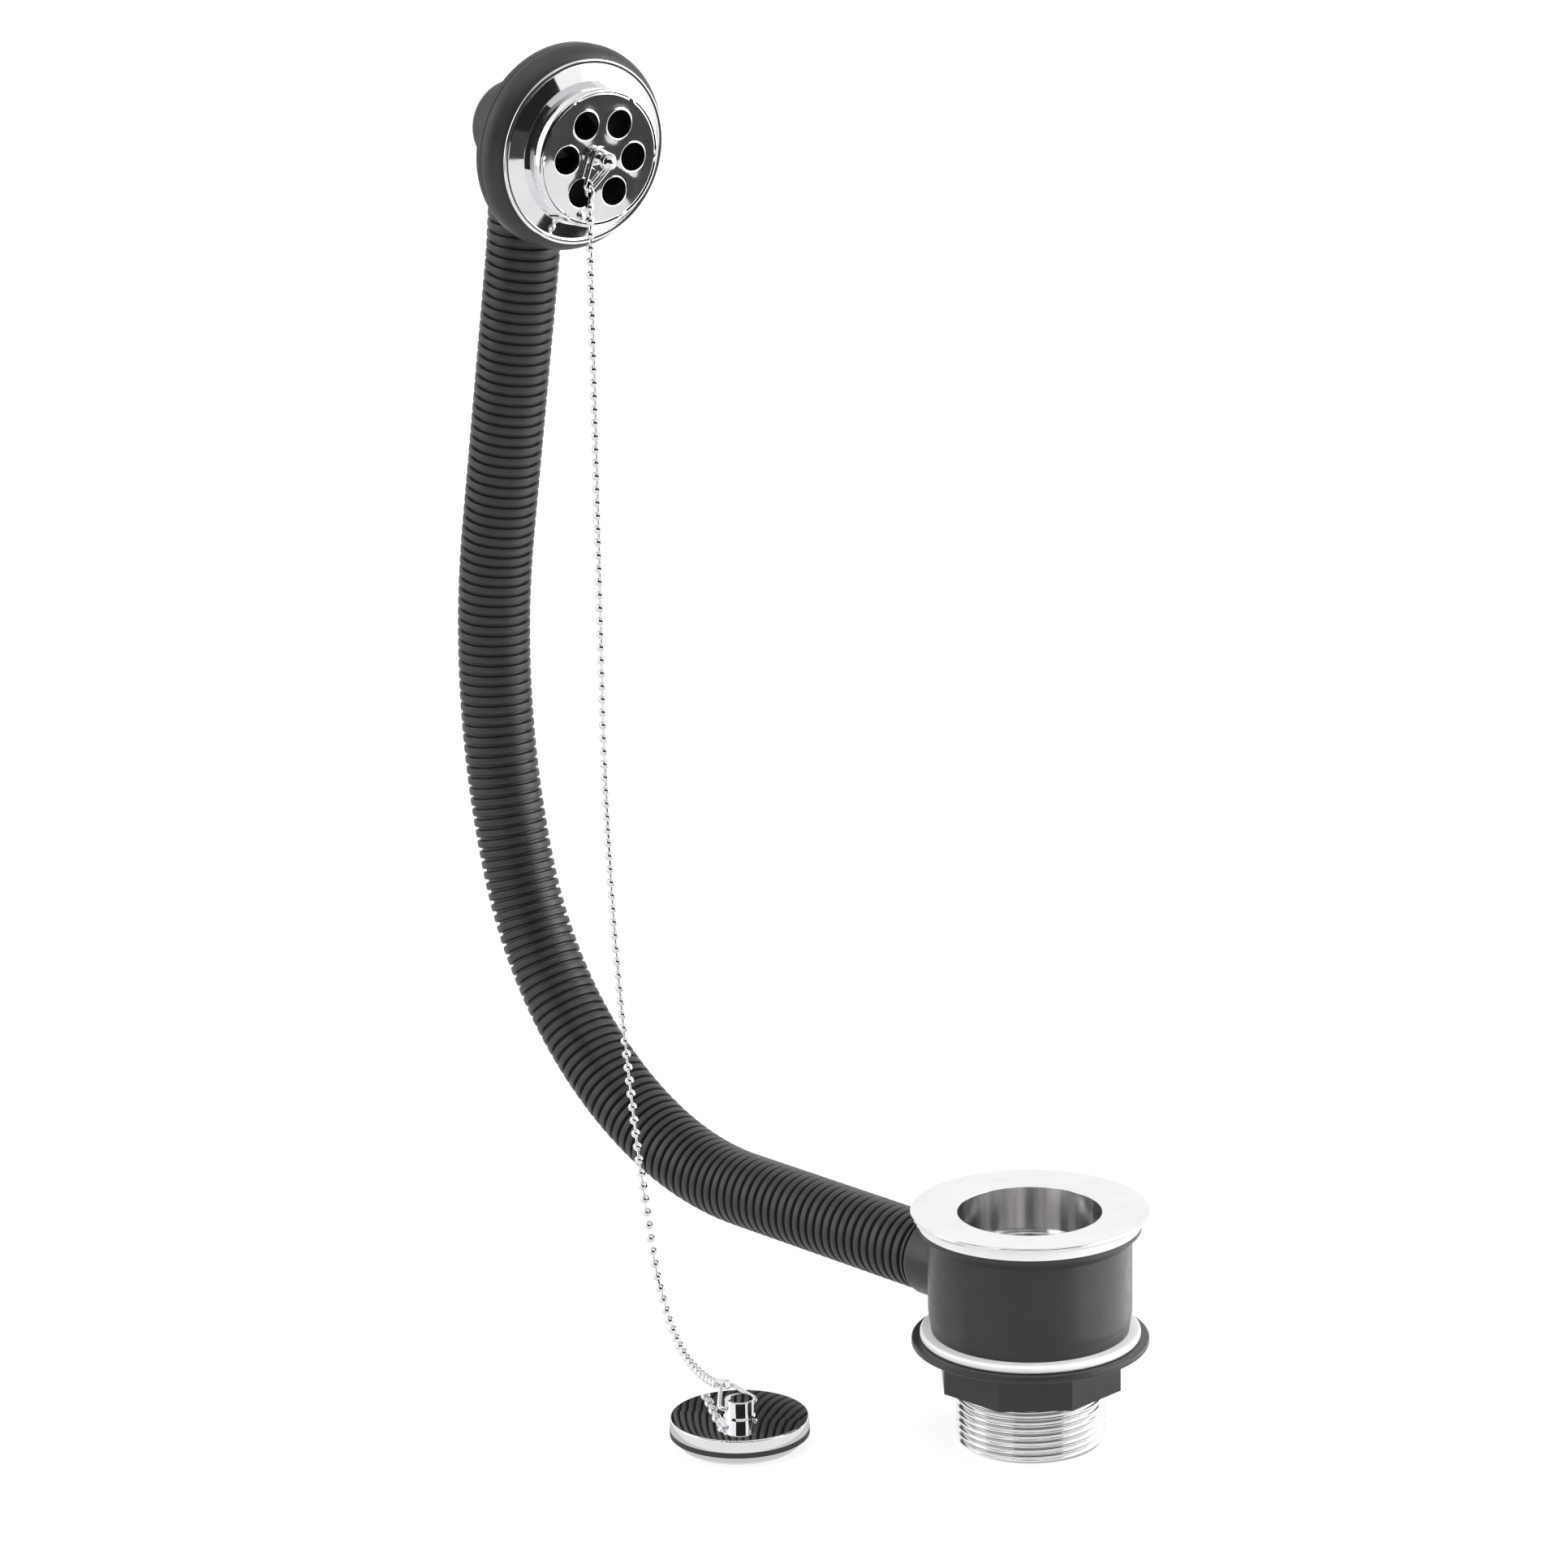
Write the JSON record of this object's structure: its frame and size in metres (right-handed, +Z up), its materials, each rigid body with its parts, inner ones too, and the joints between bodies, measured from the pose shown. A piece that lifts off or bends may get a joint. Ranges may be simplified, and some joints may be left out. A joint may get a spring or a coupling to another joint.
{
  "type": "bath waste and overflow",
  "caption": "Bath waste with a flanged plug seat and threaded tail, a corrugated hose up to a round overflow rose, and a plug on a ball chain",
  "frame": {"origin": "on the waste axis, on the bath floor where the flange washer meets the bath washer", "axes": "+Z up along the waste axis, +X from the overflow across to the waste, the way the overflow rose faces"},
  "size_m": [0.3094, 0.1299, 0.4312],
  "materials": {
    "chrome": "polished chrome plate on brass",
    "white_polythene": "soft white polythene",
    "black_rubber": "smooth black rubber",
    "black_plastic": "black moulded plastic with a satin face",
    "black_hose": "black corrugated plastic with a satin face",
    "brass": "turned brass"
  },
  "bodies": {
    "root": {"waste_body": "chrome", "flange_washer": "white_polythene", "bath_washer": "black_rubber", "banjo_body": "black_plastic", "lower_washer": "white_polythene", "back_nut": "black_plastic", "overflow_hose": "black_hose", "overflow_elbow": "black_plastic", "overflow_insert": "brass", "overflow_seal": "black_rubber", "overflow_rose": "chrome", "rose_screw": "chrome", "screw_link": "chrome", "upper_coupling": "chrome", "chain_beads": "chrome", "chain_pins": "chrome", "lower_coupling": "chrome", "plug_bail": "chrome", "plug_post": "chrome", "plug_body": "chrome", "plug_seal": "black_rubber"}
  },
  "joints": []
}
